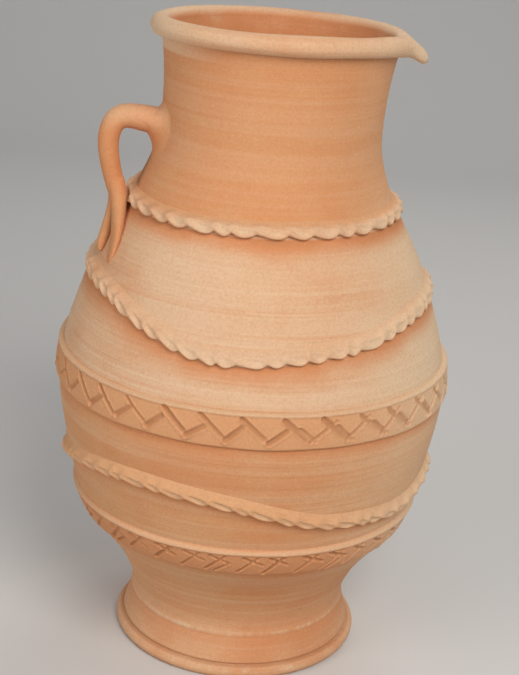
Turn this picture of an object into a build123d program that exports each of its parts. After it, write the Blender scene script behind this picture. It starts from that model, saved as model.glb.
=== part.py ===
from build123d import *
import os
from math import cos, radians, sin, tan

# A large fired-clay garden jug: thrown drums stacked on a pedestal foot, a wide neck with
# a rolled rim and a pouring lip, one looped handle, and bands and thumbed cords of clay
# laid over the joints.  Millimetres.  The origin is the centre of the foot's resting ring,
# +Z is up, +X is the way the jug pours and -Y is its front.

os.makedirs("parts", exist_ok=True)

# ---- driving dimensions -------------------------------------------------------------
WALL = 13.0                # thickness of the thrown wall
RIM_HEIGHT = 788.5         # centre of the rolled rim
RIM_RADIUS = 144.2         # from the neck's axis to the centre of the roll
RIM_ROLL = 11.8            # radius of the roll
RIM_TILT_FRONT = 2.07      # degrees: the front of the rim stands higher than the back
RIM_TILT_LIP = 0.40        # degrees: the lip side of the rim is lower
RIM_SEAT = 12.0            # the rim's seat on the neck, below the centre of its roll
SLIP = 0.05                # film of slip between the neck and the rim
LIP_SPREAD = 34.0          # degrees to each side of +X that the lip takes from the rim
NECK_LEAN = 0.042          # sideways drift of the neck towards the lip, per unit of height
FOOT_RADIUS = 158.8        # widest part of the rolled foot edge
FOOT_ROLL = 15.5           # height of the rolled foot edge
FOOT_BORE = 117.0          # radius of the hole through the top of the foot
FOOT_HOLLOW = 140.0        # radius of the hollow under the foot, at the ground
WAIST = 139.8              # radius of the narrowest part, above the foot
WAIST_HEIGHT = 61.0
FOOT_TOP = 66.0            # the drum and the floor slab stand on the foot here
FLOOR_THICKNESS = 16.0
LOWER_JOINT = 196.0        # joint between the bowl and the lower belly drum
MIDDLE_JOINT = 378.0       # joint between the lower belly drum and the shoulder drum
NECK_JOINT = 587.0         # joint between the shoulder drum and the neck
JOINT_STEP = 8.0           # height of the tongue that locks one drum into the next
REACH = 300.0              # further out than any part of the jug

HANDLE_AZIMUTH = -78.0     # degrees round from the front, negative to the left
HANDLE_THICK = 24.0        # thickness of the handle, measured outwards from the jug
HANDLE_WIDE = 31.0         # width of the handle, measured round the jug
TAIL_ROOT = 10.5           # radius of a prong where it leaves the handle
TAIL_TIP = 6.5             # radius of a prong's rounded tip

CORD_WIDE = 18.0           # height of a thumbed cord on the wall
CORD_PROUD = 7.0           # how far it stands out from the wall
LAID = 0.3                 # film of slip between the wall and what is laid on it
NECK_CORD_WIDE = 21.0      # height of the cord over the joint of the neck, along the wall
NECK_CORD_THICK = 15.0     # full thickness of its oval, part of which the wall takes up
LEAN_ROOM = 0.45           # room behind that cord for the neck's lean
LOWER_BAND = (178.0, 214.0, 4.0)     # bottom, top and how far the band stands out
MIDDLE_BAND = (357.0, 399.0, 4.5)
BAND_EDGE = 4.0            # height over which a band's edge falls back to the wall

# Heights of the centre line of each swag, from the handle side round the front to the lip
# side: azimuth in degrees, height.  The back length is the same path, mirrored.
UPPER_SWAG = [(-89, 500), (-62, 495), (-40, 476), (-13, 452), (20, 461), (50, 477), (89, 491)]
LOWER_SWAG = [(-89, 246), (-62, 272), (-38, 290), (-14, 288), (12, 268), (38, 248), (62, 245),
              (89, 262)]

# Outside of the wall, radius and height
BODY_OUTLINE = [(WAIST, WAIST_HEIGHT), (149.8, 99), (172.2, 137), (201, 175), (221.8, 226),
                (235.4, 289), (243.6, 352), (240.8, 390), (223.5, 454), (193.1, 530),
                (161.6, NECK_JOINT)]
NECK_OUTLINE = [(161.6, NECK_JOINT), (147.0, 618.5), (135.8, 656), (133.4, 694), (134.9, 732),
                (141.0, 777), (143.5, 788)]
SHOULDER_SLOPE = -0.52     # radius gained for each unit of height, where shoulder meets neck
RIM_SLOPE = 0.25           # the same, where the neck meets the rim

# Corners of the handle's centre line, radius and height, and the radius that rounds each of
# its three inner corners
HANDLE_CORNERS = [(122, 669), (191, 691), (193, 640), (179, 594), (186, 566)]
HANDLE_ROUNDING = [25, 70, 30]
TAIL_START = (183, 590)    # radius and height where the handle's tail divides

# Prongs of the tail: how far towards the front each leaves the handle, how many degrees
# further round the jug its tip lies, and the height of its tip
TAIL_PRONGS = [(-3, 2.5, 524), (7, 11.5, 530)]

# Ovals of the lip from the roll out to the tip: distance from the rim's axis, height above
# the centre of the roll, half width, half thickness
LIP_OVALS = [(140, -1, 36, 11), (154, -3, 28, 10.5), (165, -9, 17, 9), (171, -16, 9, 6)]
LIP_DROOP = 8.0            # degrees that the first oval is turned down
LIP_CURL = 1.4             # degrees more for each millimetre further out


# ---- helpers ------------------------------------------------------------------------
def flat(points):
    """Radius and height pairs, laid in the XZ plane."""
    return [Vector(radius, 0, height) for radius, height in points]


def inner_line(outer, samples=14):
    """The line one wall thickness inside an outline."""
    points = []
    for step in range(samples + 1):
        along = step / samples
        slope = outer % along
        inwards = Vector(-slope.Z, 0, slope.X)
        points.append(outer @ along + inwards * WALL)
    return Spline(*points)


def turn(section):
    """A section in the XZ plane, turned all the way round the jug's axis."""
    return revolve(section, axis=Axis.Z, revolution_arc=360)


def one_solid(shape):
    """The largest solid of a shape, which drops slivers that a cut leaves behind."""
    return max(shape.solids(), key=lambda solid: solid.volume)


def stepped(height):
    """A joint with a tongue at its inner half, from the outside of the wall to the axis."""
    step = wall_radius(height) - WALL / 2
    return [(REACH, height), (step, height), (step, height + JOINT_STEP), (0, height + JOINT_STEP)]


def level(height):
    """A plain butt joint, from the outside of the wall to the axis."""
    return [(REACH, height), (0, height)]


def between(low, high):
    """The part of the XZ half plane between two joints."""
    return make_face(Polyline(*flat(low + high[::-1]), close=True))


def box_face(r0, z0, r1, z1):
    """A rectangle in the XZ plane."""
    return make_face(Polyline(*flat([(r0, z0), (r1, z0), (r1, z1), (r0, z1)]), close=True))


def radius_at(line, height):
    """Radius of a rising line at a height."""
    low, high = 0.0, 1.0
    for _ in range(40):
        middle = (low + high) / 2
        if (line @ middle).Z < height:
            low = middle
        else:
            high = middle
    return (line @ low).X


def height_at(line, across):
    """Height of a line that runs to the right, at a distance across."""
    low, high = 0.0, 1.0
    for _ in range(40):
        middle = (low + high) / 2
        if (line @ middle).X < across:
            low = middle
        else:
            high = middle
    return (line @ low).Z


def wall_radius(height):
    """Radius of the outside of the body at a height."""
    return radius_at(body_line, height)


def around(azimuth, radius, height, sideways=0.0):
    """A point at an azimuth from the front, a radius and a height."""
    angle = radians(azimuth)
    return Vector(radius * sin(angle) + sideways * cos(angle),
                  -radius * cos(angle) + sideways * sin(angle), height)


# ---- body -----------------------------------------------------------------------------
body_line = Spline(*flat(BODY_OUTLINE), tangents=[(0, 0, 1), (SHOULDER_SLOPE, 0, 1)])
neck_line = Spline(*flat(NECK_OUTLINE), tangents=[(SHOULDER_SLOPE, 0, 1), (RIM_SLOPE, 0, 1)])
body_inside = inner_line(body_line)
neck_inside = inner_line(neck_line)

top_edge = Polyline(body_line @ 1, (radius_at(neck_inside, NECK_JOINT), 0, NECK_JOINT),
                    body_inside @ 1)
wall = make_face([body_line, top_edge, body_inside, Line(body_inside @ 0, body_line @ 0)])

core_edge = Polyline(body_line @ 1, (0, 0, NECK_JOINT), (0, 0, WAIST_HEIGHT), body_line @ 0)
core = make_face([body_line, core_edge])
core_solid = turn(core)

lower_bowl = one_solid(turn(wall & between(level(FOOT_TOP), stepped(LOWER_JOINT))))
belly_drum = one_solid(turn(wall & between(stepped(LOWER_JOINT), stepped(MIDDLE_JOINT))))
shoulder_drum = one_solid(turn(wall & between(stepped(MIDDLE_JOINT), level(RIM_HEIGHT))))

# Floor slab, cut to the inside of the bowl
floor_section = (core - wall) & box_face(0, FOOT_TOP, WAIST, FOOT_TOP + FLOOR_THICKNESS)
floor_slab = one_solid(turn(floor_section))


# ---- foot -----------------------------------------------------------------------------
def foot_section():
    """Pedestal ring with a rolled lower edge, a groove above it and a hollow under it."""
    rest_radius = FOOT_RADIUS - 6.3
    groove = Vector(rest_radius - 2, 0, FOOT_ROLL + 2)
    flare = Vector(WAIST + 5.3, 0, 36)
    top_outside = body_line @ 0
    roll_side = (FOOT_RADIUS, 0, FOOT_ROLL / 2)
    edge = ThreePointArc((rest_radius, 0, 0), roll_side, (rest_radius, 0, FOOT_ROLL))
    side = Spline(groove, flare, top_outside, tangents=[(0.1, 0, 1), (0, 0, 1)])
    outline = [edge, Line(edge @ 1, groove), side]
    vault = Vector(FOOT_HOLLOW - 12, 0, 30)
    inside = Spline((FOOT_HOLLOW, 0, 0), vault, (FOOT_BORE, 0, WAIST_HEIGHT))
    bottom = Line(inside @ 0, edge @ 0)
    pedestal = make_face(outline + [Line(top_outside, inside @ 1), inside, bottom])
    collar = core & box_face(FOOT_BORE, WAIST_HEIGHT, REACH, FOOT_TOP)
    return pedestal + collar


foot = one_solid(turn(foot_section()))


# ---- neck -----------------------------------------------------------------------------
rim_shift = NECK_LEAN * (RIM_HEIGHT - NECK_JOINT)
rim_place = Pos(rim_shift, 0, RIM_HEIGHT) * Rot(-RIM_TILT_FRONT, RIM_TILT_LIP, 0)
upwards = (Align.CENTER, Align.CENTER, Align.MIN)
downwards = (Align.CENTER, Align.CENTER, Align.MAX)

neck_ends = [Line(neck_line @ 1, neck_inside @ 1), Line(neck_inside @ 0, neck_line @ 0)]
neck_blank = make_face([neck_line, neck_inside] + neck_ends)
neck_section = neck_blank & between(level(NECK_JOINT), level(RIM_HEIGHT))
neck_straight = turn(neck_section)
lean = Matrix([[1, 0, NECK_LEAN, -NECK_LEAN * NECK_JOINT], [0, 1, 0, 0], [0, 0, 1, 0],
               [0, 0, 0, 1]])
above_seat = rim_place * Pos(0, 0, -RIM_SEAT - SLIP) * Box(2 * REACH, 2 * REACH, REACH, align=upwards)
neck = one_solid(neck_straight.transform_geometry(lean) - above_seat)


# ---- rim and pouring lip -----------------------------------------------------------------
def rim_section():
    """Thick roll whose inner side runs down to the bore of the neck."""
    outer = (RIM_RADIUS + RIM_ROLL, 0, 0)
    inner_top = (RIM_RADIUS - RIM_ROLL, 0, 2)
    top = ThreePointArc(inner_top, (RIM_RADIUS, 0, RIM_ROLL), outer)
    seat_outer = (RIM_RADIUS - 2.5, 0, -RIM_SEAT)
    seat_inner = (RIM_RADIUS - RIM_ROLL - 3.5, 0, -RIM_SEAT)
    under = ThreePointArc(outer, (RIM_RADIUS + 8, 0, -8.8), seat_outer)
    return make_face([top, under, Polyline(seat_outer, seat_inner, inner_top)])


def lip_blank():
    """Beak drawn out of the rim and turned down: ovals from the roll to the tip."""
    first_reach = LIP_OVALS[0][0]
    ovals = []
    for reach, height, half_wide, half_thick in LIP_OVALS:
        droop = radians(LIP_DROOP + LIP_CURL * (reach - first_reach))
        way = (cos(droop), 0, -sin(droop))
        oval_plane = Plane(origin=(reach, 0, height), x_dir=(0, 1, 0), z_dir=way)
        ovals.append(oval_plane * Ellipse(half_wide, half_thick))
    return loft(ovals)


ring = turn(rim_section())
far = REACH * tan(radians(LIP_SPREAD))
wedge_floor = make_face(Polyline((0, 0), (REACH, -far), (REACH, far), close=True))
wedge = extrude(Pos(0, 0, -REACH / 2) * wedge_floor, amount=REACH)
lip_length = (ring & wedge) + lip_blank()
seat_clear = Pos(0, 0, -RIM_SEAT) * Cylinder(RIM_RADIUS - 1, REACH, align=downwards)
rim_roll = one_solid(rim_place * (ring - wedge))
pouring_lip = one_solid(rim_place * (lip_length - seat_clear))


# ---- bands and cords ------------------------------------------------------------------------
def band(low, high, proud):
    """Flat raised band laid on the wall, with softened edges."""
    middle = (low + high) / 2
    crest = [(wall_radius(z) + proud, z) for z in (low + BAND_EDGE, middle, high - BAND_EDGE)]
    outside = Spline(*flat(crest))
    behind = [(wall_radius(high), high), (wall_radius(middle) - WALL / 2, middle),
              (wall_radius(low), low)]
    inside = Polyline(outside @ 1, *flat(behind), outside @ 0)
    return one_solid(turn(make_face([outside, inside]) - core))


def swag(path, mirror_back):
    """One length of thumbed cord, hollow behind to fit the wall and round in front."""
    route = Spline(*flat(path))
    steps = 18
    sections = []
    for step in range(steps + 1):
        azimuth = path[0][0] + (path[-1][0] - path[0][0]) * step / steps
        height = height_at(route, azimuth)
        where = 180 - azimuth if mirror_back else azimuth
        low, high = height - CORD_WIDE / 2, height + CORD_WIDE / 2
        ends = [around(where, wall_radius(z) + LAID, z) for z in (low, high)]
        crown = around(where, wall_radius(height) + CORD_PROUD, height)
        seat = around(where, wall_radius(height) + LAID, height)
        front = ThreePointArc(ends[0], crown, ends[1])
        back = ThreePointArc(ends[1], seat, ends[0])
        sections.append(make_face([front, back]))
    return one_solid(loft(sections))


lower_band = band(*LOWER_BAND)
middle_band = band(*MIDDLE_BAND)
upper_swag_front = swag(UPPER_SWAG, False)
upper_swag_back = swag(UPPER_SWAG, True)
lower_swag_front = swag(LOWER_SWAG, False)
lower_swag_back = swag(LOWER_SWAG, True)

# Thumbed cord over the joint between the shoulder and the neck
joint_radius = NECK_OUTLINE[0][0]
cord_plane = Plane(origin=(joint_radius + 2, 0, NECK_JOINT + 0.5), x_dir=(-0.5, 0, 1), z_dir=(0, -1, 0))
cord_oval = cord_plane * Ellipse(NECK_CORD_WIDE / 2, NECK_CORD_THICK / 2)
inside_neck = box_face(0, NECK_JOINT, joint_radius - WALL, RIM_HEIGHT)
neck_room = Pos(LEAN_ROOM, 0, 0) * neck_blank
neck_cord = one_solid(turn(cord_oval - core - neck_room - inside_neck))


# ---- handle -----------------------------------------------------------------------------------
def handle_loop():
    """Oval roll of clay, arched from the neck and down on to the shoulder."""
    corners = [around(HANDLE_AZIMUTH, r, z) for r, z in HANDLE_CORNERS]
    path = FilletPolyline(*corners, radius=HANDLE_ROUNDING)
    across = around(HANDLE_AZIMUTH, 0, 0, 1)
    section = Plane(origin=path @ 0, x_dir=across, z_dir=path % 0)
    return sweep(section * Ellipse(HANDLE_WIDE / 2, HANDLE_THICK / 2), path=path)


def prong(sideways, turned, tip_height):
    """One end of the split tail of the handle, spread on the shoulder."""
    top = around(HANDLE_AZIMUTH, *TAIL_START, sideways)
    tip = around(HANDLE_AZIMUTH + turned, wall_radius(tip_height) + 1.5, tip_height)
    way = tip - top
    start = Plane(origin=top, z_dir=way) * Circle(TAIL_ROOT)
    end = Plane(origin=tip, z_dir=way) * Circle(TAIL_TIP)
    return loft([start, end]) + Pos(tip) * Sphere(TAIL_TIP)


rear_prong, front_prong = [prong(*shape) for shape in TAIL_PRONGS]
tail = rear_prong + front_prong
bore_radius = 125.0
neck_bore = Pos(0, 0, NECK_JOINT) * Cylinder(bore_radius, REACH / 2, align=upwards)
handle = one_solid(handle_loop() + tail - core_solid - neck - neck_cord - neck_bore)

# Wad of clay worked round the handle's upper root
root_wide, root_narrow, root_length = 31.0, 15.0, 34.0
root = Plane(origin=around(HANDLE_AZIMUTH, 120, 664), z_dir=around(HANDLE_AZIMUTH, 1, 0.32))
wad_blank = root * Cone(root_wide, root_narrow, root_length, align=upwards)
handle_root_wad = one_solid(wad_blank - neck - handle - neck_bore)

# ---- one file for each piece --------------------------------------------------------------------
pieces = {
    "pedestal_foot": foot,
    "floor_slab": floor_slab,
    "lower_bowl": lower_bowl,
    "belly_drum": belly_drum,
    "shoulder_drum": shoulder_drum,
    "neck": neck,
    "rim_roll": rim_roll,
    "pouring_lip": pouring_lip,
    "handle": handle,
    "handle_root_wad": handle_root_wad,
    "neck_cord": neck_cord,
    "upper_swag_front": upper_swag_front,
    "upper_swag_back": upper_swag_back,
    "middle_band": middle_band,
    "lower_swag_front": lower_swag_front,
    "lower_swag_back": lower_swag_back,
    "lower_band": lower_band,
}
for name, solid in pieces.items():
    solid.label = name
    export_step(solid, f"parts/{name}.step")
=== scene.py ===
from math import cos, pi, radians, sin

import bmesh
import bpy
import numpy as np
from mathutils import Matrix, Vector


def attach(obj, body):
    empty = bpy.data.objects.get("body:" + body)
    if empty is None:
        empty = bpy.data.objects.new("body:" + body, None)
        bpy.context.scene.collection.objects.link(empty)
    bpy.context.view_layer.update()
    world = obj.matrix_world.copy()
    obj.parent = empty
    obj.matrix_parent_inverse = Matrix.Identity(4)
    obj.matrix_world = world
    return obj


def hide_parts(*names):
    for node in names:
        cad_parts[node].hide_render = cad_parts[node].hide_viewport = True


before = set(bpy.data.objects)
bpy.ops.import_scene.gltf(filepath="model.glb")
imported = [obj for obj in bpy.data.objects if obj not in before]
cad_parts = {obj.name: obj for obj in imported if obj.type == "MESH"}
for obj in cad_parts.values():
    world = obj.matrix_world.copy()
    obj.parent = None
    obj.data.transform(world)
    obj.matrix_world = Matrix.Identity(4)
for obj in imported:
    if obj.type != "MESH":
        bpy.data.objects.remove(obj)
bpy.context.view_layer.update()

# A fired-clay garden jug.  The jug's sizes are in millimetres and are turned into metres where
# a mesh is made; the floor, lights and camera are in metres.  Azimuth is measured round the
# jug from its front (-Y), positive towards the pouring lip (+X).

MM = 0.001

# ---- shape of the jug, as in the CAD model ----------------------------------------------------
WALL = 13.0
FOOT_TOP = 66.0
FLOOR_THICKNESS = 16.0
LOWER_JOINT = 196.0         # heights of the joints between the drums, outside
MIDDLE_JOINT = 378.0
NECK_JOINT = 587.0
JOINT_STEP = 8.0            # the inner half of a stepped joint is this much higher
NECK_LEAN = 0.042           # sideways for each millimetre of height over the neck joint
RIM_HEIGHT = 788.5          # middle of the rolled rim, on the jug's axis
RIM_RADIUS = 144.2
RIM_ROLL = 11.8
RIM_TILT_FRONT = radians(2.07)
RIM_TILT_LIP = radians(0.40)
RIM_SEAT = 12.0             # the neck ends this far under the middle of the roll
LIP_AZIMUTH = 90            # degrees
LIP_SPREAD = 34.0           # degrees of the rim each side of the lip's middle
HANDLE_AZIMUTH = -78.0      # degrees

FOOT_ROLL_RADIUS = 150.9    # radius to the middle of the foot's rolled edge
FOOT_ROLL = 7.9             # size of the rolled edge, and height of its middle
FOOT_CREASE = 16.8          # height of the groove over the rolled edge
FOOT_SIDE_LOW = 19.6        # where the foot's flared side starts
FOOT_RIDGE = 55.0           # height of the worn ridge
FOOT_OUTSIDE = 137.0        # points of the foot further out than this are on its outside

# Height and radius of the outside of the wall, from the groove of the foot to the rim
OUTLINE = [(17.5, 150.5), (36, 145.1), (61, 139.8), (99, 149.8), (137, 172.2), (175, 201),
           (226, 221.8), (289, 235.4), (352, 243.6), (390, 240.8), (454, 223.5), (530, 193.1),
           (587, 161.6), (618.5, 147), (656, 135.8), (694, 133.4), (732, 134.9), (777, 141),
           (796, 145)]


# ---- curves and surfaces ----------------------------------------------------------------------
def smooth_curve(points):
    """A curve with continuous curvature through (across, up) points, as a function."""
    x, y = np.array(points, float).T
    gap = np.diff(x)
    slope = np.diff(y) / gap
    count = len(x)
    matrix = np.eye(count)
    bend = np.zeros(count)
    for i in range(1, count - 1):
        matrix[i, i - 1:i + 2] = gap[i - 1], 2 * (gap[i - 1] + gap[i]), gap[i]
        bend[i] = 6 * (slope[i] - slope[i - 1])
    bend = np.linalg.solve(matrix, bend)

    def value(at):
        at = np.asarray(at, float)
        i = np.clip(np.searchsorted(x, at) - 1, 0, count - 2)
        left, right, g = at - x[i], x[i + 1] - at, gap[i]
        ends = (bend[i] * right ** 3 + bend[i + 1] * left ** 3) / (6 * g)
        chord = (y[i] / g - bend[i] * g / 6) * right + (y[i + 1] / g - bend[i + 1] * g / 6) * left
        return ends + chord
    return value


outline = smooth_curve(OUTLINE)


def wave_sum(seed, pitches, turns=(-1, 0, 0, 1)):
    """Sum of soft waves up the wall, some of them spirals, as thrown walls have."""
    rng = np.random.default_rng(seed)
    waves = [(1 / p, rng.choice(turns), rng.uniform(0, 2 * pi), rng.uniform(0.6, 1.0))
             for p in pitches]

    def value(azimuth, height):
        total = 0
        for rate, turn, phase, size in waves:
            swell = 1 + 0.5 * np.sin(azimuth * 2 + phase * 3 + height / 90)
            total = total + size * swell * np.sin(2 * pi * height * rate + turn * azimuth + phase)
        return total / len(waves)
    return value


throwing = wave_sum(3, (4.3, 5.9, 7.7, 10.3, 14.9, 23.0))
inside_throwing = wave_sum(8, (9.0, 13.0, 17.0))


def oval_error(azimuth, height):
    """How far a thrown wall is out of true: half a millimetre, turning slowly with height."""
    return 0.5 * np.sin(2 * azimuth + 0.4 + height / 260)


def wall_radius(azimuth, height):
    """Radius of the outside of the wall, slightly out of true all round."""
    three_sided = 0.3 * np.sin(3 * azimuth - 1.1 - height / 190)
    return outline(height) + oval_error(azimuth, height) + three_sided


def wall_slope(height):
    """How fast the wall's radius grows with height."""
    return outline(height + 0.5) - outline(height - 0.5)


def place(azimuth, radius, height):
    """Points in millimetres from azimuth, radius and height; the neck leans to the lip."""
    lean = NECK_LEAN * np.maximum(0, height - NECK_JOINT)
    x = radius * np.sin(azimuth) + lean
    y = -radius * np.cos(azimuth)
    return np.stack(np.broadcast_arrays(x, y, height), -1)


def on_wall(azimuth, height, proud):
    """Points a distance proud of the wall, measured square to it."""
    slope = wall_slope(height)
    size = np.sqrt(1 + slope ** 2)
    radius = wall_radius(azimuth, height) + proud / size
    return place(azimuth, radius, height - proud * slope / size)


# ---- meshes -----------------------------------------------------------------------------------
def make_piece(name, points, faces, marks=None):
    """A smooth-shaded mesh object from points in millimetres, with float marks per point."""
    mesh = bpy.data.meshes.new(name)
    mesh.from_pydata((np.asarray(points) * MM).tolist(), [], faces)
    for mark, values in (marks or {}).items():
        layer = mesh.attributes.new(mark, "FLOAT", "POINT")
        layer.data.foreach_set("value", np.asarray(values, np.float32).ravel())
    work = bmesh.new()
    work.from_mesh(mesh)
    bmesh.ops.recalc_face_normals(work, faces=work.faces)
    work.to_mesh(mesh)
    work.free()
    mesh.polygons.foreach_set("use_smooth", [True] * len(mesh.polygons))
    mesh.set_sharp_from_angle(angle=radians(50))
    piece = bpy.data.objects.new(name, mesh)
    bpy.context.collection.objects.link(piece)
    return piece


def lattice_faces(rows, columns, wrap_rows, wrap_columns):
    """Quads over a grid of points, and end caps where the columns don't close."""
    down = np.arange(rows if wrap_rows else rows - 1)
    across = np.arange(columns if wrap_columns else columns - 1)
    r, c = np.meshgrid(down, across, indexing="ij")
    r2, c2 = (r + 1) % rows, (c + 1) % columns
    corners = [r * columns + c, r * columns + c2, r2 * columns + c2, r2 * columns + c]
    faces = np.stack(corners, -1).reshape(-1, 4).tolist()
    if wrap_rows and not wrap_columns:
        faces.append([i * columns for i in range(rows)])
        faces.append([i * columns + columns - 1 for i in range(rows)])
    return faces


def lattice(name, points, wrap_rows=True, wrap_columns=True, marks=None):
    """A piece from a grid of points: rows go round the section, columns round the jug."""
    rows, columns = points.shape[:2]
    faces = lattice_faces(rows, columns, wrap_rows, wrap_columns)
    return make_piece(name, points.reshape(-1, 3), faces, marks)


def full_turn(columns):
    """Azimuths of evenly spaced columns all round the jug."""
    return np.linspace(-pi, pi, columns, endpoint=False)


def steps_between(low, high, spacing):
    """Even steps from low to high, about a spacing apart."""
    return np.linspace(low, high, max(2, int(round((high - low) / spacing)) + 1))


# ---- where the cords and bands lie ------------------------------------------------------------
# Lower edge of each thumbed cord: azimuth in degrees, height
UPPER_SWAG = [(-95, 490), (-80, 490), (-62, 486), (-50, 480), (-40, 470), (-30, 460), (-20, 450),
              (-10, 445), (0, 446), (12, 450), (30, 457), (40, 462), (52, 471), (70, 479),
              (95, 484)]
LOWER_SWAG = [(-95, 239), (-80, 249), (-64, 265), (-48, 277), (-32, 283), (-16, 280), (0, 271),
              (12, 258), (25, 246), (40, 240), (58, 236), (78, 250), (95, 252)]
NECK_CORD_LOW = 578.5
MIDDLE_BAND = (357.0, 399.0)
LOWER_BAND = (178.0, 214.0)
SWAG_END = 91.5             # degrees: the two lengths of a swag lap a little at each side

upper_path = smooth_curve(UPPER_SWAG)
lower_path = smooth_curve(LOWER_SWAG)


def swag_line(path, azimuth):
    """Height of a swag's lower edge all round: the back length mirrors the front one."""
    degrees = (np.degrees(azimuth) + 180) % 360 - 180
    mirrored = np.where(np.abs(degrees) > 90, np.sign(degrees) * 180 - degrees, degrees)
    return path(mirrored)


def upper_edge(azimuth):
    return swag_line(upper_path, azimuth)


def lower_edge(azimuth):
    return swag_line(lower_path, azimuth)


def neck_edge(azimuth):
    return NECK_CORD_LOW + 0.6 * np.sin(2 * azimuth) + 0.4 * np.sin(5 * azimuth + 1)


def below(edge, height, reach):
    """1 just under an edge, fading to 0 a reach further down, and 0 above it."""
    drop = edge - height
    return np.where(drop < -2, 0, np.clip(1 - drop / reach, 0, 1) ** 1.2)


def wiped_and_shaded(azimuth, height):
    """Under each cord and band: where a wet finger has wiped the wall, with painted shade cast by
    the cord or band.
    """
    # lower edge of the cord or band, how far down the wipe and its painted shade reach, how strong
    # they are
    wipes = [(upper_edge(azimuth), 34, 0.85), (lower_edge(azimuth), 18, 0.8),
             (NECK_CORD_LOW, 26, 1.0), (MIDDLE_BAND[0], 24, 0.8), (LOWER_BAND[0], 16, 0.8)]
    marks = [below(edge, height, reach) * strength for edge, reach, strength in wipes]
    return np.max(np.broadcast_arrays(*marks), axis=0)


# ---- thrown pieces ----------------------------------------------------------------------------
OUTSIDE_STEP = 1.6          # height of one row of faces on the outside
INSIDE_STEP = 5.0           # and on the inside
INSIDE_RIDGE = 0.7          # size of the throwing rings inside
SEAT_BLEND = 90.0           # the neck leans over to the tilted rim within this height
INSIDE_SHADE = 0.7           # painted shade and reflected orange light on the inside and the joints


def seat_lift(azimuth):
    """How far the tilted seat of the rim is above its mean height."""
    front = RIM_RADIUS * np.cos(azimuth) * np.tan(RIM_TILT_FRONT)
    return front - RIM_RADIUS * np.sin(azimuth) * np.tan(RIM_TILT_LIP)


def seated(points, azimuth):
    """The top of the neck, drawn up or down to meet the tilted rim."""
    height = points[..., 2]
    share = np.clip((height - (RIM_HEIGHT - SEAT_BLEND)) / (SEAT_BLEND - RIM_SEAT), 0, 1) ** 1.5
    return np.stack([points[..., 0], points[..., 1], height + share * seat_lift(azimuth)], -1)


def thrown_ring(name, low, high, low_step, high_step, ridge, columns=300):
    """One drum of the wall: ringed outside and inside, with stepped joints top and bottom."""
    azimuth = full_turn(columns)[None, :]
    up = steps_between(low, high, OUTSIDE_STEP)[:, None]
    outside = place(azimuth, wall_radius(azimuth, up) + ridge * throwing(azimuth, up), up)
    inner_low, inner_high = low + low_step, high + high_step
    down = steps_between(inner_low, inner_high, INSIDE_STEP)[::-1, None]
    thick = WALL * np.sqrt(1 + wall_slope(down) ** 2)
    inner = wall_radius(azimuth, down) - thick + INSIDE_RIDGE * inside_throwing(azimuth, down)
    inside = place(azimuth, inner, down)
    joints = []
    for outer_z, inner_z in ((high, inner_high), (low, inner_low)):
        middle = wall_radius(azimuth, outer_z) - WALL / 2
        step = [place(azimuth, middle, np.full_like(azimuth, z)) for z in (outer_z, inner_z)]
        joints.append(step if outer_z != inner_z else step[:1])
    points = np.concatenate([outside, *joints[0], inside, *joints[1][::-1]], 0)
    height = np.concatenate([up, *[np.full((1, 1), high)] * len(joints[0]), down,
                             *[np.full((1, 1), low)] * len(joints[1])], 0)
    rows = np.arange(len(points))[:, None]
    hidden = (rows >= len(up)) & np.ones_like(points[..., 0], bool)
    # the wipe mark: painted shade and reflected light inside and on the joints, wiped clay with
    # painted shade under the cords and bands
    marks = {"wipe_and_shade": np.where(hidden, INSIDE_SHADE, wiped_and_shaded(azimuth, height))}
    return lattice(name, seated(points, azimuth), marks=marks)


def disc(name, radius, low, high, columns=160):
    """Floor slab, with the finger spiral of its throwing on top."""
    azimuth = full_turn(columns)[None, :]
    reach = np.linspace(0.02, 1, 60)[:, None] * radius
    spiral_pitch = 14
    fade = np.clip(1 - reach / radius, 0, 1) ** 0.3
    swirl = 0.6 * np.sin(2 * pi * reach / spiral_pitch + azimuth) * fade
    top = place(azimuth, reach, high - 0.7 + swirl)
    bottom = place(azimuth, reach[::-4], np.full_like(reach[::-4] * azimuth, low))
    points = np.concatenate([top, bottom], 0)
    count = points.shape[0] * columns
    faces = lattice_faces(points.shape[0], columns, False, True)
    faces += [list(range(columns)), list(range(count - columns, count))]
    return make_piece(name, points.reshape(-1, 3), faces, {"wipe_and_shade": np.zeros(count)})


def bump_at(height, middle, spread):
    """1 at one height, fading to 0 above and below it."""
    return np.exp(-((height - middle) / spread) ** 2)


def foot(columns=300):
    """Pedestal ring: rolled lower edge, groove, flared side with a worn ridge, hollow inside."""
    azimuth = full_turn(columns)[None, :]
    turn = np.radians(np.linspace(-90, 78, 20))
    edge = [(FOOT_ROLL_RADIUS + FOOT_ROLL * cos(t), FOOT_ROLL + FOOT_ROLL * sin(t)) for t in turn]
    crease = [(149.6, 15.7), (148.3, 16.4), (148.0, 17.3), (149.4, 18.3)]
    side = crease + [(outline(z), z) for z in steps_between(FOOT_SIDE_LOW, FOOT_TOP, 1.4)]
    inside = [(117, FOOT_TOP), (117, 61), (122, 46), (128, 30), (134, 14), (139, 2), (141, 0)]
    radius, height = (np.array(v)[:, None] for v in zip(*(edge + side + inside)))
    radius = radius + np.where(radius > FOOT_OUTSIDE, 0.3 * throwing(azimuth, height), 0)
    ridge = 0.8 * bump_at(height, FOOT_RIDGE, 2.2)
    radius = radius + np.where(radius > FOOT_OUTSIDE, ridge, 0)
    wobble = oval_error(azimuth, height) * np.clip(height / 20, 0, 1)
    worn = np.maximum(bump_at(height, FOOT_RIDGE, 3.5), bump_at(height, 12, 5) * 0.8)
    all_over = np.ones(radius.shape)
    # wipe mark: redder under the ridge, fading downwards; cut mark: painted shade in the groove
    # over the rolled edge
    marks = {"wipe_and_shade": 0.5 * below(50, height, 30) * all_over, "worn": worn * all_over,
             "cut": bump_at(height, FOOT_CREASE, 1.5) * (radius > FOOT_OUTSIDE + 3)}
    return lattice("foot", place(azimuth, radius + wobble, height * all_over), marks=marks)


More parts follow.
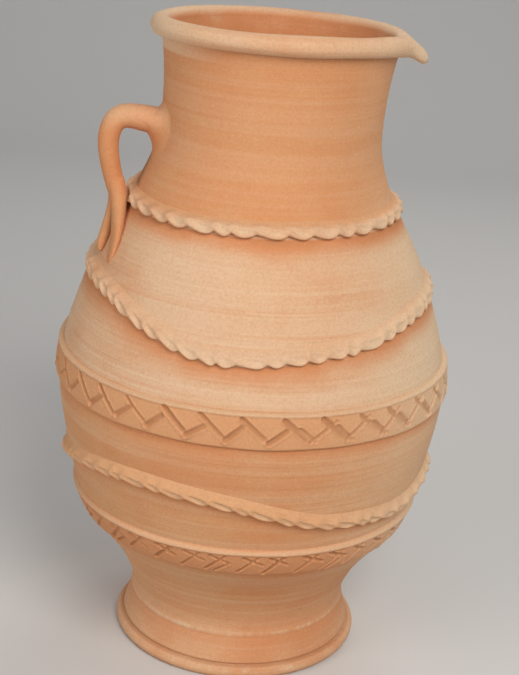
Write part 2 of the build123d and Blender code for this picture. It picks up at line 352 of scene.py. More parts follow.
# ---- thumbed cords ----------------------------------------------------------------------------
# Section of a cord: height above its lower edge as a share of its width, how far it stands
# proud as a share of its thickness, and how much it follows the scallops of the edge.
CORD_SECTION = [(1.62, -0.18, 0.0), (1.42, 0.05, 0.0), (1.18, 0.32, 0.0), (0.98, 0.62, 0.1),
                (0.80, 0.88, 0.2), (0.62, 0.98, 0.35), (0.44, 1.00, 0.55), (0.28, 0.99, 0.8),
                (0.14, 0.93, 1.0), (0.04, 0.78, 1.0), (0.00, 0.52, 1.0), (0.05, 0.20, 1.0),
                (0.13, -0.20, 1.0)]
COLUMNS_PER_PRINT = 14
CORD_ROWS = 30
CORD_BACK = 2.5             # how far a cord's back is inside the wall


def thumbed_cord(name, edge, start, end, lobes, wide, proud, notch, press, seed):
    """A cord pressed on with the thumb, from one azimuth to another, in degrees.

    The lower edge is scalloped by a notch between the lobes, one lobe for each print, and
    the upper edge is smeared up the wall.  A print is pressed in by up to 1.25 of press.
    """
    closed = end - start >= 360
    columns = lobes * COLUMNS_PER_PRINT
    azimuth = np.radians(np.linspace(start, end, columns, endpoint=not closed))[None, :]
    along = np.linspace(0, lobes, columns, endpoint=not closed)[None, :]
    rng = np.random.default_rng(seed)
    for waves in (5, 9, 14):
        shift = rng.uniform(0, 2 * pi)
        along = along + 0.10 * np.sin(2 * pi * waves * along / lobes + shift)
    lobe = np.floor(along).astype(int) % lobes
    strength = rng.uniform(0.65, 1.25, lobes)[lobe]
    across = np.linspace(0, len(CORD_SECTION) - 1, CORD_ROWS)
    share, stand, follow = (smooth_curve(list(enumerate(column)))(across)[:, None]
                            for column in zip(*CORD_SECTION))

    # the scallops and the prints lean one way
    skewed = (along % 1) ** 1.45
    scallop = (1 - np.abs(np.sin(pi * skewed)) ** 0.8) * notch
    crest = 0.22 * notch * np.sin(2 * pi * along + 0.8) * bump_at(share, 0.95, 0.3)
    middle = ((along + 0.26 * (share - 0.3)) % 1) ** 1.3 - 0.5
    thumb = np.exp(-(np.abs(middle) / 0.36) ** 3 - (np.abs(share - 0.42) / 0.34) ** 3)
    ridge = np.exp(-((np.abs(middle) - 0.5) / 0.09) ** 2 - ((share - 0.35) / 0.40) ** 2)

    # the loose ends of a length thin out
    taper = 1.0
    if not closed:
        from_end = np.minimum(np.degrees(azimuth) - start, end - np.degrees(azimuth))
        taper = np.clip(0.25 + from_end / 4, 0, 1) ** 0.5
    low_edge = edge(azimuth)
    height = low_edge + share * wide + (follow * scallop + crest) * taper
    out = (stand * proud - press * strength * thumb + 0.25 * press * ridge) * taper
    out = np.where(stand < 0, stand * proud, out)
    face = on_wall(azimuth, height, out)
    back = on_wall(azimuth, low_edge + 0.7 * wide, np.full_like(azimuth, -CORD_BACK))
    points = np.concatenate([face, back], 0)
    unmarked = np.zeros_like(azimuth)
    # painted highlight on the faces of the thumb prints, carried on the thumb mark
    print_highlight = np.concatenate([thumb * strength, unmarked], 0)
    smear = np.clip((share - 0.8) / 0.7, 0, 1) * np.ones_like(azimuth)
    blank = np.zeros_like(print_highlight)
    marks = {"thumb": print_highlight, "smear": np.concatenate([smear, unmarked], 0), "cut": blank,
             "lip": blank}
    return lattice(name, points, wrap_columns=closed, marks=marks)


# ---- incised bands ----------------------------------------------------------------------------
def groove(depth_map, azimuth, height, start, end, half_wide, depth):
    """Cuts one straight stroke, from (degrees, height) to (degrees, height), with its burrs.

    It gets shallower towards its end, as the tool is lifted.
    """
    middle = 0.5 * (start[0] + end[0])
    scale = pi / 180 * outline(0.5 * (start[1] + end[1]))
    offset = (np.degrees(azimuth) - middle + 180) % 360 - 180
    x, z = offset * scale, height
    start_x, start_z = (start[0] - middle) * scale, start[1]
    run_x, run_z = (end[0] - start[0]) * scale, end[1] - start[1]
    length_squared = run_x * run_x + run_z * run_z
    share = np.clip(((x - start_x) * run_x + (z - start_z) * run_z) / length_squared, 0, 1)
    away = np.hypot(x - start_x - share * run_x, z - start_z - share * run_z)
    fade = 1 - 0.30 * share
    cut = depth * fade * np.clip(1 - (away / half_wide) ** 2, 0, 1) ** 0.8
    burr = 0.32 * depth * fade * np.exp(-((away - half_wide * 1.2) / (0.35 * half_wide)) ** 2)
    np.copyto(depth_map, np.where(cut > 0, np.minimum(depth_map, -cut), depth_map + burr),
              where=away < half_wide * 2.4)


def raised_band(name, low, high, proud, strokes, half_wide, depth, columns):
    """A flat band laid round the wall, with a lip at its top edge and strokes cut into it."""
    azimuth = full_turn(columns)[None, :]
    flat_rows = steps_between(low + 2.2, high - 5.4, 1.15)
    crown = 0.35 * np.sin(pi * (flat_rows - flat_rows[0]) / (flat_rows[-1] - flat_rows[0]))
    rows = [(low + 1.0, -1.5), (low + 0.2, 0.3), (low, 0.45 * proud), (low + 0.6, 0.8 * proud)]
    rows += list(zip(flat_rows, proud - 0.3 + crown))
    rows += [(high - 4.4, proud + 0.3), (high - 3.4, proud + 1.0), (high - 2.2, proud + 1.4),
             (high - 1.0, proud + 1.0), (high + 0.1, 0.7 * proud), (high + 1.0, 0.3 * proud),
             (high + 1.8, 0.0), (high + 2.4, -1.2), (high - 6, -3.0), (low + 6, -3.0)]
    height, out = (np.array(v)[:, None] for v in zip(*rows))

    # the two edges wander apart and together a little round the jug
    edge_wave = 0.5 * np.sin(7 * azimuth + 1.3) + 0.4 * np.sin(17 * azimuth)
    share = np.clip((height - low) / (high - low), 0, 1)
    height = height + edge_wave * (1.4 * share - 0.7)
    cuts = np.zeros(np.broadcast_shapes(height.shape, azimuth.shape))
    rng = np.random.default_rng(len(strokes))
    for start, end in strokes:
        weight = rng.uniform(0.75, 1.12)
        groove(cuts, azimuth, height, start, end, half_wide * weight, depth * weight)

    # strokes hardly mark the band's edges and its lip
    cuts = np.where(out > 0.6 * proud, cuts, np.minimum(cuts, 0) * 0.3 * (out > 0))
    # the lip mark also carries a painted highlight along the band's top lip
    lip = bump_at(height, high - 1.2, 3.0) * (out > -0.5)
    cuts = cuts * (1 - 0.7 * np.clip(lip, 0, 1))
    points = on_wall(azimuth, height, out + cuts)
    blank = np.zeros_like(cuts)
    # cut mark: painted shade in the strokes
    marks = {"thumb": blank, "smear": blank, "cut": np.clip(-cuts / depth, 0, 1),
             "lip": blank + lip}
    return lattice(name, points, marks=marks)


def zigzag_strokes(low, high):
    """Falling strokes with shorter rising ones between; a few of the rising ones are longer
    and cross the next falling stroke, with a short second falling stroke beside them."""
    rng = np.random.default_rng(12)
    count, first = 33, -67
    strokes = []
    for i in range(count):
        at = first + i * 360 / count + rng.uniform(-0.8, 0.8)
        top, bottom = high - rng.uniform(6, 8), low + rng.uniform(9, 12)
        strokes.append(((at, top), (at + rng.uniform(6.0, 7.2), bottom)))
        crossed = 7 <= i <= 11 or i in (17, 24, 25)
        rise = high - rng.uniform(8, 11) if crossed else low + rng.uniform(23, 28)
        reach = rng.uniform(7.0, 8.0) if crossed else rng.uniform(4.2, 5.2)
        foot_at = at + rng.uniform(6.6, 7.4)
        strokes.append(((foot_at, low + rng.uniform(7, 10)), (foot_at + reach, rise)))
        if crossed:
            strokes.append(((at + 4.2, top - 10), (at + 8.6, bottom - 2)))
    return strokes


def slanting_strokes(low, high):
    """Rising strokes, each crossed by a falling one, and a short one beside every fourth."""
    rng = np.random.default_rng(21)
    count, first = 38, -48
    strokes = []
    for i in range(count):
        at = first + i * (360 / count) + rng.uniform(-0.9, 0.9)
        top = high - rng.uniform(7, 9)
        strokes.append(((at, low + rng.uniform(3, 6)), (at + rng.uniform(5.4, 7.0), top)))
        fall_to = at + rng.uniform(7.4, 8.8), high - rng.uniform(17, 21)
        strokes.append(((at + 1.8, high - 8), fall_to))
        if i % 4 == 0:
            strokes.append(((at + 2.8, low + 4), (at + 7.0, low + 16)))
    return strokes


# ---- rim and pouring lip ----------------------------------------------------------------------
# Section of the rolled rim at the tip of the lip: angle round the roll, and where the clay is,
# outwards from the roll's centre and up from it.
LIP_SECTION = [(-110, -2.4, -19.0), (-90, 1.0, -18.8), (-75, 6.5, -17.8), (-60, 12.2, -19.3),
               (-45, 18.2, -22.6), (-25, 25.0, -25.0), (-8, 29.6, -22.6), (8, 30.2, -17.4),
               (20, 27.6, -11.6), (35, 21.6, -6.0), (50, 14.0, -3.0), (70, 6.5, 1.2),
               (90, -0.5, 4.4), (120, -7.5, 6.2), (150, -12.0, 2.6), (175, -13.4, -3.0)]
ROLL_ROWS = 40
RIM_INNER = RIM_ROLL + 3.4  # how far the rim's inner face is inside the middle of the roll


def rim_points(azimuth):
    """The roll all round: a thick ring that widens and turns down into a beak at the lip."""
    angles = np.linspace(-110, 175, ROLL_ROWS)
    turn = np.radians(angles)[:, None]
    beside = (np.degrees(azimuth)[None, :] - LIP_AZIMUTH + 180) % 360 - 180
    size = RIM_ROLL + 0.25 * np.sin(5 * azimuth + 0.7) + 0.2 * np.sin(8 * azimuth)
    ring = size * np.cos(turn), size * np.sin(turn)
    lowered = ring[0] + 2.5, ring[1] - 5.0
    lip_out = smooth_curve([(a, out) for a, out, up in LIP_SECTION])(angles)[:, None]
    lip_up = smooth_curve([(a, up) for a, out, up in LIP_SECTION])(angles)[:, None]
    wide = np.exp(-(np.abs(beside) / 21) ** 2.4)
    narrow = np.exp(-(np.abs(beside) / 10.0) ** 2.6)
    out = ring[0] + wide * (lowered[0] - ring[0]) + narrow * (lip_out - lowered[0])
    up = ring[1] + wide * (lowered[1] - ring[1]) + narrow * (lip_up - lowered[1])
    bottom = -RIM_SEAT - 1.8
    inside = [(-RIM_ROLL - 1.0, -5.0), (-RIM_INNER - 0.6, -RIM_SEAT), (-RIM_INNER - 0.6, bottom),
              (-RIM_INNER + 6, bottom)]
    level = np.ones_like(azimuth)[None, :]
    out = np.concatenate([out * level, *[x * level for x, _ in inside]], 0)
    up = np.concatenate([up * level, *[z * level for _, z in inside]], 0)
    up = up + 0.5 * np.sin(2 * azimuth + 1.0) + 0.3 * np.sin(4 * azimuth)
    radius = RIM_RADIUS + out
    x, y = radius * np.sin(azimuth), -radius * np.cos(azimuth)
    height = RIM_HEIGHT + up - np.tan(RIM_TILT_FRONT) * y - np.tan(RIM_TILT_LIP) * x
    shift = NECK_LEAN * (RIM_HEIGHT - NECK_JOINT)
    return np.stack([x + shift, y, height], -1)


def rim_part(name, start, end, columns):
    """A length of the rim between two azimuths, in degrees, with painted shade and reflected
    orange light on its inside.
    """
    azimuth = np.radians(np.linspace(start, end, columns))
    points = rim_points(azimuth)
    rows = np.arange(points.shape[0])[:, None]
    # painted shade and reflected orange light on the rim's inner rows, carried on the wipe mark
    inside = 0.75 * np.clip((rows - (ROLL_ROWS - 9)) / 8, 0, 1) * np.ones(points.shape[:2])
    return lattice(name, points, wrap_columns=False, marks={"wipe_and_shade": inside})


# ---- handle -----------------------------------------------------------------------------------
# Centre lines of the handle's roll and of the two tongues that its tail is split into:
# radius, height, distance beside the handle's own plane, half width, half thickness
HANDLE_LINE = [(120, 672, 0, 19, 17), (138, 677, 0, 18, 16.5), (154, 680, 0, 17, 15.5),
               (170, 682, 0, 16, 14.5), (184, 677, 0, 15.5, 13.6), (191.5, 661, 0, 15, 13.0),
               (192, 640, 0, 14.5, 12.4), (187.5, 616, 0, 14, 11.8), (182.5, 597, 0, 13, 11.2),
               (180.5, 584, 0, 10, 9)]
REAR_TONGUE = [(182, 606, -4, 10, 10), (180.5, 577, -8, 8.5, 9.5), (188.5, 549, -1, 8.5, 8),
               (195.5, 534, 7, 8.5, 6.6), (198.5, 526, 12, 7, 5.2), (200, 519, 15, 4, 3)]
FRONT_TONGUE = [(182, 606, 5, 10, 10), (178.5, 580, 13, 11.5, 9.5), (180.5, 560, 26, 14, 7.8),
                (183.5, 544, 36, 16.5, 6.2), (187, 531, 41, 16, 4.6), (190.2, 521, 42, 14.5, 3.6),
                (192.5, 513, 41, 11, 2.4)]


def beside_handle(radius, height, sideways):
    """A point beside the handle's own plane by a distance towards the front of the jug."""
    angle = radians(HANDLE_AZIMUTH)
    return Vector((radius * sin(angle) + sideways * cos(angle),
                   -radius * cos(angle) + sideways * sin(angle), height))


def tube(work, stations, sides=28):
    """Adds a closed oval tube through (centre, half width, half thickness) stations."""
    along = Vector(beside_handle(0, 0, 1))
    rings = []
    for i, (centre, half_wide, half_thick) in enumerate(stations):
        before, after = stations[max(i - 1, 0)][0], stations[min(i + 1, len(stations) - 1)][0]
        way = (after - before).normalized()
        thick = way.cross(along).normalized()
        wide = thick.cross(way).normalized()
        ring = [centre + wide * half_wide * cos(t) + thick * half_thick * sin(t)
                for t in np.linspace(0, 2 * pi, sides, endpoint=False)]
        rings.append([work.verts.new(point) for point in ring])
    for first, second in zip(rings, rings[1:]):
        for i in range(sides):
            j = (i + 1) % sides
            work.faces.new((first[i], first[j], second[j], second[i]))
    work.faces.new(rings[0][::-1])
    work.faces.new(rings[-1])


def run_tube(work, line, count):
    """A tube along the smooth line through a few stations of one of the lists above."""
    across = np.linspace(0, len(line) - 1, count)
    columns = [smooth_curve(list(enumerate(column)))(across) for column in zip(*line)]
    tube(work, [(beside_handle(radius, height, sideways), half_wide, half_thick)
                for radius, height, sideways, half_wide, half_thick in zip(*columns)])


def remeshed(name, work, voxel, smoothing):
    """Fuses overlapping closed forms into one skin, as worked clay, and smooths it."""
    raw = bpy.data.meshes.new(name + "_raw")
    bmesh.ops.recalc_face_normals(work, faces=work.faces)
    work.to_mesh(raw)
    work.free()
    raw.transform(Matrix.Scale(MM, 4))
    piece = bpy.data.objects.new(name, raw)
    bpy.context.collection.objects.link(piece)
    fuse = piece.modifiers.new("fuse", "REMESH")
    fuse.mode = "VOXEL"
    fuse.voxel_size = voxel * MM
    soften = piece.modifiers.new("soften", "SMOOTH")
    soften.factor = 0.5
    soften.iterations = smoothing
    shaped = piece.evaluated_get(bpy.context.evaluated_depsgraph_get())
    mesh = bpy.data.meshes.new_from_object(shaped)
    piece.modifiers.clear()
    piece.data = mesh
    mesh.polygons.foreach_set("use_smooth", [True] * len(mesh.polygons))
    return piece


def handle():
    """Looped roll of clay with a split tail pressed on to the shoulder."""
    work = bmesh.new()
    run_tube(work, HANDLE_LINE, 60)
    run_tube(work, REAR_TONGUE, 24)
    run_tube(work, FRONT_TONGUE, 24)
    return remeshed("handle", work, voxel=1.8, smoothing=6)


def root_wad():
    """Clay worked round the handle's upper root, flaring on to the neck like a trumpet."""
    root_height, half_wide, half_tall = 676.0, 17.0, 15.0
    ring = np.linspace(0, 2 * pi, 96, endpoint=False)[None, :]
    flare = 23 - 11 * np.sin(ring) + 2 * np.cos(ring) + 1.5 * np.sin(3 * ring + 0.5)
    # 0 where the wad leaves the handle, 1 where it ends on the neck
    share = np.linspace(-0.12, 1.0, 40)[:, None]
    depth = np.clip(1 - share, 0, 1)
    stand = flare * (1 - np.sqrt(np.clip(1 - depth ** 2, 0, 1))) - 0.6 * share ** 4
    half_wide, half_tall = half_wide - 0.12 * stand, half_tall - 0.14 * stand
    across = (half_wide + share * flare) * np.cos(ring)
    height = root_height + 0.2 * stand + (half_tall + share * flare) * np.sin(ring)
    azimuth = radians(HANDLE_AZIMUTH) + across / outline(height)
    face = on_wall(azimuth, height, stand)
    hidden_edges = azimuth[[-1, 0]], height[[-1, 0]]
    back = on_wall(*hidden_edges, np.full_like(hidden_edges[1], -3.0))
    points = np.concatenate([face, back], 0)
    spread = np.concatenate([np.clip(share, 0, 1), [[1.0], [0.0]]], 0) * np.ones_like(ring)
    return lattice("handle_root_wad", points, marks={"spread": spread})


# ---- materials --------------------------------------------------------------------------------
def colour(red, green, blue):
    return (red, green, blue, 1.0)


ORANGE = colour(0.60, 0.235, 0.095)
TAN = colour(0.63, 0.325, 0.155)
PINK = colour(0.66, 0.365, 0.200)
PALE = colour(0.685, 0.450, 0.285)
CREAM = colour(0.74, 0.57, 0.385)
BROWN = colour(0.40, 0.175, 0.075)


class Clay:
    """Builds one fired-clay material: layers of colour, then roughness and relief."""

    def __init__(self, name, base, lit_side_pale):
        self.material = bpy.data.materials.new(name)
        self.material.use_nodes = True
        self.nodes = self.material.node_tree.nodes
        self.links = self.material.node_tree.links
        self.shader = self.nodes["Principled BSDF"]
        self.shader.inputs["Specular IOR Level"].default_value = 0.25
        self.where = self.nodes.new("ShaderNodeTexCoord").outputs["Object"]
        self.base = base
        # how strongly the lit side towards the lip is painted paler, as painted light
        self.lit_side_pale = lit_side_pale
        self.colour = None

    def stretched(self, x, y, z):
        """The piece's own coordinates, scaled, so that a texture is squashed along an axis."""
        mapping = self.nodes.new("ShaderNodeMapping")
        mapping.inputs["Scale"].default_value = (x, y, z)
        self.links.new(self.where, mapping.inputs["Vector"])
        return mapping.outputs["Vector"]

    def noise(self, scale, detail=3.0, rough=0.55, squash=(1, 1, 1)):
        node = self.nodes.new("ShaderNodeTexNoise")
        node.inputs["Scale"].default_value = scale
        node.inputs["Detail"].default_value = detail
        node.inputs["Roughness"].default_value = rough
        self.links.new(self.stretched(*squash), node.inputs["Vector"])
        return node.outputs["Fac"]

    def mark(self, name):
        """A float mark of the mesh's points; 0 where the mesh has none of that name."""
        node = self.nodes.new("ShaderNodeAttribute")
        node.attribute_name = name
        return node.outputs["Fac"]

    def ramp(self, value, low, high, top=1.0, bottom=0.0):
        """A value's smooth passage from bottom to top as it goes from low to high."""
        node = self.nodes.new("ShaderNodeMapRange")
        node.interpolation_type = "SMOOTHSTEP"
        for socket, number in zip(("From Min", "From Max", "To Min", "To Max"),
                                  (low, high, bottom, top)):
            node.inputs[socket].default_value = number
        self.links.new(value, node.inputs["Value"])
        return node.outputs["Result"]

    def times(self, first, second):
        node = self.nodes.new("ShaderNodeMath")
        node.operation = "MULTIPLY"
        self.links.new(first, node.inputs[0])
        self.links.new(second, node.inputs[1])
        return node.outputs[0]

    def over(self, value, tint, top, low=0.0, high=1.0):
        """Lays a tint over the colour so far where a value is high, by an amount up to a top."""
        node = self.nodes.new("ShaderNodeMix")
        node.data_type = "RGBA"
        self.links.new(self.ramp(value, low, high, top=top), node.inputs["Factor"])
        if self.colour:
            self.links.new(self.colour, node.inputs["A"])
        else:
            node.inputs["A"].default_value = self.base
        node.inputs["B"].default_value = tint
        self.colour = node.outputs["Result"]

    def coordinate(self, axis):
        split = self.nodes.new("ShaderNodeSeparateXYZ")
        self.links.new(self.where, split.inputs[0])
        return split.outputs[axis]

    def height_mask(self, low, high, soft):
        """1 between two heights in millimetres, fading over a soft distance outside them."""
        up = self.coordinate("Z")
        rise = self.ramp(up, (low - soft) * MM, low * MM)
        fall = self.ramp(up, high * MM, (high + soft) * MM, top=0.0, bottom=1.0)
        return self.times(rise, fall)

    def relief(self, parts):
        """Stacks bumps of (value, distance in millimetres, strength)."""
        normal = None
        for value, distance, strength in parts:
            node = self.nodes.new("ShaderNodeBump")
            node.inputs["Distance"].default_value = distance * MM
            node.inputs["Strength"].default_value = strength
            self.links.new(value, node.inputs["Height"])
            if normal:
                self.links.new(normal, node.inputs["Normal"])
            normal = node.outputs["Normal"]
        self.links.new(normal, self.shader.inputs["Normal"])

    def finish(self, rough):
        """Joins the colour to the shader, with a roughness that varies about its mean."""
        self.links.new(self.colour, self.shader.inputs["Base Color"])
        spread = self.ramp(self.noise(60, 4), 0.3, 0.7, top=rough + 0.07, bottom=rough - 0.07)
        self.links.new(spread, self.shader.inputs["Roughness"])
        return self.material


ABOVE_ALL = 900             # a height over the top of the jug


def broad_rings(paint):
    """Broad pale rings of a drum's throwing, and a redder neck."""
    paint.over(paint.noise(1.0, 3.0, 0.5, squash=(1.5, 1.5, 55)), PALE, 0.25, 0.45, 0.62)
    paint.over(paint.height_mask(625, ABOVE_ALL, 40), ORANGE, 0.35)


def painted_light_and_wipe(paint):
    """Painted light paler towards the lip, a painted highlight on the rim's other side, and redder
    and browner on the wipe mark: wiped clay with painted shade under the cords and bands, painted
    shade inside.
    """
    # painted light: paler towards the lip, on the side the key light falls on
    paint.over(paint.coordinate("X"), CREAM, paint.lit_side_pale, 0.07, 0.23)
    # painted highlight on the top of the rim away from the lip
    away_from_lip = paint.ramp(paint.coordinate("X"), -0.15, -0.03, top=0.0, bottom=1.0)
    paint.over(paint.times(paint.height_mask(768, ABOVE_ALL, 6), away_from_lip), CREAM, 0.55)
    # wiped clay made redder, with painted shade under the cords and bands and inside the jug,
    # browner where strongest
    patches = paint.ramp(paint.noise(18, 3), 0.2, 0.6, bottom=0.65)
    edge = paint.times(paint.mark("wipe_and_shade"), patches)
    paint.over(edge, ORANGE, 0.95, 0.0, 0.8)
    paint.over(edge, BROWN, 0.40, 0.6, 1.0)


def worked_cord(paint):
    """Darker low on the jug, painted highlights on the thumb prints and lips, painted shade in the
    strokes.
    """
    band_low, band_high = MIDDLE_BAND[0] - 7, MIDDLE_BAND[1] + 3
    paint.over(paint.height_mask(0, 300, 12), TAN, 0.8)
    paint.over(paint.height_mask(band_low, band_high, 8), TAN, 0.80)
    paint.over(paint.height_mask(band_low, band_high, 8), ORANGE, 0.30)
    paint.over(paint.height_mask(0, LOWER_BAND[1] + 2, 8), ORANGE, 0.65)
    # painted light: paler towards the lip, on the side the key light falls on
    paint.over(paint.coordinate("X"), CREAM, paint.lit_side_pale, 0.08, 0.24)
    # painted highlight on the thumb prints
    paint.over(paint.mark("thumb"), CREAM, 0.30, 0.2, 1.0)
    neck_feather = paint.times(paint.mark("smear"), paint.height_mask(NECK_JOINT + 1, 640, 6))
    paint.over(neck_feather, TAN, 0.9, 0.05, 0.8)
    paint.over(paint.mark("smear"), PINK, 0.3, 0.3, 0.9)
    # painted shade in the strokes
    paint.over(paint.mark("cut"), BROWN, 0.62, 0.10, 0.9)
    # painted highlight along the bands' top lip
    paint.over(paint.mark("lip"), CREAM, 0.42, 0.15, 0.9)


def pulled_handle(paint):
    """Painted highlight on top, and the neck's colour where the wad is spread on to it."""
    # painted highlight on the top of the handle
    paint.over(paint.height_mask(698, ABOVE_ALL, 45), CREAM, 0.30)
    paint.over(paint.mark("spread"), TAN, 0.85, 0.2, 0.95)


def groove_shade_and_scuffs(paint):
    """Painted shade in the groove, pale scuffs on the ridge and the rolled edge."""
    # painted shade in the groove
    paint.over(paint.mark("cut"), BROWN, 0.6, 0.1, 1.0)
    scuffs = paint.ramp(paint.noise(45, 6, 0.7), 0.35, 0.75)
    paint.over(paint.times(paint.mark("worn"), scuffs), CREAM, 0.55)


def clay(name, base, bloom, streaks=1.0, lit_side_pale=0.4, looks=(), rough=0.86):
    """The jug's clay in one of its tones, with the looks that its pieces have."""
    paint = Clay(name, base, lit_side_pale)
    paint.over(paint.noise(6.0, 4.0), bloom, 0.65, 0.42, 0.66)
    paint.over(paint.noise(9.0, 3.0, squash=(1, 1, 2.5)), ORANGE, 0.35, 0.50, 0.72)

    # fine rings, as the noise is squashed flat
    thrown = paint.noise(1.0, 6.0, 0.66, squash=(3, 3, 330))
    paint.over(thrown, CREAM, 0.22 * streaks, 0.46, 0.72)
    other_rings = paint.noise(1.0, 5.0, 0.62, squash=(2.5, 2.5, 190))
    paint.over(other_rings, ORANGE, 0.24 * streaks, 0.50, 0.72)
    for look in looks:
        look(paint)

    grain = paint.noise(900.0, 2.0, 0.6)
    paint.over(paint.noise(330.0, 4.0, 0.72), BROWN, 0.27, 0.38, 0.72)
    paint.over(paint.noise(260.0, 4.0, 0.75), CREAM, 0.24, 0.56, 0.74)
    paint.relief([(thrown, 0.5 * streaks, 0.8), (grain, 0.22, 0.7),
                  (paint.noise(160, 3), 0.35, 0.5)])
    return paint.finish(rough)


body_clay = clay("body_clay", TAN, ORANGE, streaks=0.8, looks=(broad_rings, painted_light_and_wipe))
pale_clay = clay("pale_clay", PALE, PINK, streaks=1.5, lit_side_pale=0.75, looks=(painted_light_and_wipe,))
cord_clay = clay("cord_clay", PALE, PINK, streaks=0.25, lit_side_pale=0.6, looks=(worked_cord,))
handle_clay = clay("handle_clay", ORANGE, TAN, streaks=0.15, looks=(pulled_handle,))
foot_clay = clay("foot_clay", PINK, ORANGE, looks=(painted_light_and_wipe, groove_shade_and_scuffs))
bare_clay = clay("bare_clay", BROWN, ORANGE, rough=0.92)


# ---- the jug ----------------------------------------------------------------------------------
def join_jug(piece, node, material):
    """Gives a piece its finish and its place on the jug's one body."""
    piece.data.materials.clear()
    piece.data.materials.append(material)
    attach(piece, "root")
    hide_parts(node)


join_jug(foot(), "pedestal_foot", foot_clay)
floor_top = FOOT_TOP + FLOOR_THICKNESS
floor_radius = outline(FOOT_TOP + FLOOR_THICKNESS / 2) - WALL - 1
join_jug(disc("floor", floor_radius, FOOT_TOP, floor_top), "floor_slab", bare_clay)
join_jug(thrown_ring("bowl", FOOT_TOP, LOWER_JOINT, 0, JOINT_STEP, 0.45), "lower_bowl",
         body_clay)
join_jug(thrown_ring("belly", LOWER_JOINT, MIDDLE_JOINT, JOINT_STEP, JOINT_STEP, 0.45),
         "belly_drum", body_clay)
join_jug(thrown_ring("shoulder", MIDDLE_JOINT, NECK_JOINT, JOINT_STEP, 0, 0.55),
         "shoulder_drum", pale_clay)
join_jug(thrown_ring("neck_wall", NECK_JOINT, RIM_HEIGHT - RIM_SEAT, 0, 0, 0.30), "neck",
         body_clay)

lip_start, lip_end = LIP_AZIMUTH - LIP_SPREAD, LIP_AZIMUTH + LIP_SPREAD
join_jug(rim_part("rim", lip_end, lip_start + 360, 260), "rim_roll", pale_clay)
join_jug(rim_part("lip", lip_start, lip_end, 140), "pouring_lip", pale_clay)

join_jug(handle(), "handle", handle_clay)
join_jug(root_wad(), "handle_root_wad", handle_clay)

neck_cord = thumbed_cord("cord", neck_edge, -180, 180, lobes=36, wide=13, proud=9.0, notch=4.2,
                         press=3.4, seed=5)
join_jug(neck_cord, "neck_cord", cord_clay)

LOBES_PER_LENGTH = 29
SWAGS = {"upper": (upper_edge, {"wide": 14.5, "proud": 7.6, "notch": 4.2, "press": 3.2}, 31),
         "lower": (lower_edge, {"wide": 13.0, "proud": 9.2, "notch": 4.6, "press": 4.0}, 33)}
for which, (edge, sizes, first_seed) in SWAGS.items():
    for turn, side in enumerate(("front", "back")):
        middle = 180 * turn
        length = thumbed_cord(f"{which}_garland_{side}", edge, middle - SWAG_END,
                              middle + SWAG_END, LOBES_PER_LENGTH, seed=first_seed + turn, **sizes)
        join_jug(length, f"{which}_swag_{side}", cord_clay)

zigzag_band = raised_band("zigzag_band", *MIDDLE_BAND, proud=4.6, half_wide=3.5, depth=2.9,
                          strokes=zigzag_strokes(*MIDDLE_BAND), columns=1400)
join_jug(zigzag_band, "middle_band", cord_clay)
stroke_band = raised_band("stroke_band", *LOWER_BAND, proud=4.2, half_wide=2.6, depth=2.5,
                          strokes=slanting_strokes(*LOWER_BAND), columns=1200)
join_jug(stroke_band, "lower_band", cord_clay)


# ---- floor, light and camera ------------------------------------------------------------------
def flat_material(name, tint, rough):
    material = bpy.data.materials.new(name)
    material.use_nodes = True
    shader = material.node_tree.nodes["Principled BSDF"]
    shader.inputs["Base Color"].default_value = tint
    shader.inputs["Roughness"].default_value = rough
    return material


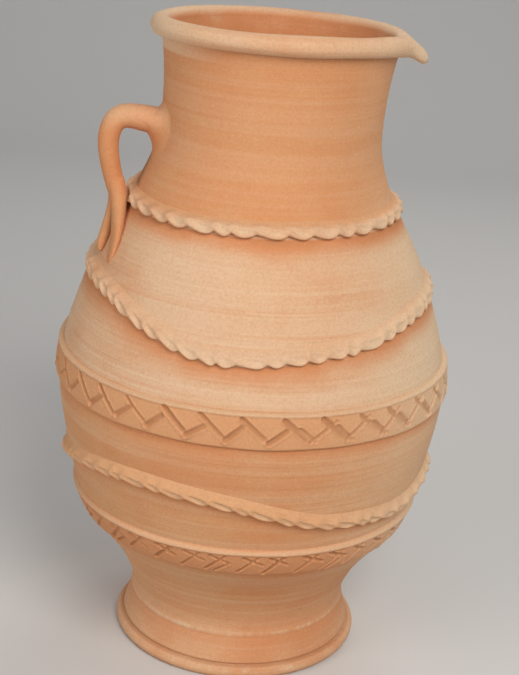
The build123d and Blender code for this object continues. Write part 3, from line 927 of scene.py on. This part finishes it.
def make_floor():
    """A wide pale sheet that curves up behind the jug."""
    half_wide, far, bend, top = 7.0, 2.6, 1.2, 5.0
    turn = np.linspace(0, pi / 2, 16)
    curve = [(far + bend * sin(t), bend * (1 - cos(t))) for t in turn]
    profile = [(-half_wide, 0.0), *curve, (far + bend, top)]
    points = [(x, y, z) for x in (-half_wide, half_wide) for y, z in profile]
    count = len(profile)
    faces = [(i, i + 1, count + i + 1, count + i) for i in range(count - 1)]
    mesh = bpy.data.meshes.new("floor_sheet")
    mesh.from_pydata(points, [], faces)
    mesh.polygons.foreach_set("use_smooth", [True] * len(mesh.polygons))
    sheet = bpy.data.objects.new("floor_sheet", mesh)
    bpy.context.collection.objects.link(sheet)
    mesh.materials.append(flat_material("floor_paper", colour(0.62, 0.61, 0.60), 0.9))


def area_light(name, place_at, target, size, power, tint):
    """A round soft light that shines at a target."""
    lamp = bpy.data.lights.new(name, "AREA")
    lamp.shape = "DISK"
    lamp.size = size
    lamp.energy = power
    lamp.color = tint
    light = bpy.data.objects.new(name, lamp)
    light.location = place_at
    light.rotation_euler = (Vector(target) - Vector(place_at)).to_track_quat("-Z", "Y").to_euler()
    bpy.context.collection.objects.link(light)


make_floor()
jug_middle = (0.0, 0.0, 0.42)
area_light("key", (1.0, -2.4, 2.5), jug_middle, 1.8, 80, (1.0, 0.97, 0.92))
area_light("fill", (-2.4, -1.9, 1.3), jug_middle, 1.8, 30, (1.0, 0.97, 0.93))
area_light("back", (0.8, 2.0, 2.6), jug_middle, 1.6, 22, (1.0, 0.98, 0.95))

world = bpy.data.worlds.new("soft_room")
world.use_nodes = True
room = world.node_tree.nodes["Background"]
room.inputs["Color"].default_value = colour(0.95, 0.97, 1.0)
room.inputs["Strength"].default_value = 0.27
bpy.context.scene.world = world
bpy.context.scene.view_settings.view_transform = "Standard"

CAMERA_PLACE = (0.0, -1.810, 1.059)
CAMERA_DOWN = 19.94         # degrees
CAMERA_TURN = 0.23
CAMERA_ROLL = 4.11
LENS_LENGTH = 81.06         # millimetres, on a sensor 36 mm wide
lens = bpy.data.cameras.new("camera")
lens.sensor_width = 36.0
lens.lens = LENS_LENGTH
camera = bpy.data.objects.new("camera", lens)
turned = Matrix.Rotation(radians(-CAMERA_TURN), 4, "Z")
tipped = Matrix.Rotation(radians(90 - CAMERA_DOWN), 4, "X")
rolled = Matrix.Rotation(radians(CAMERA_ROLL), 4, "Z")
camera.matrix_world = Matrix.Translation(CAMERA_PLACE) @ (turned @ tipped) @ rolled
bpy.context.collection.objects.link(camera)
bpy.context.scene.camera = camera
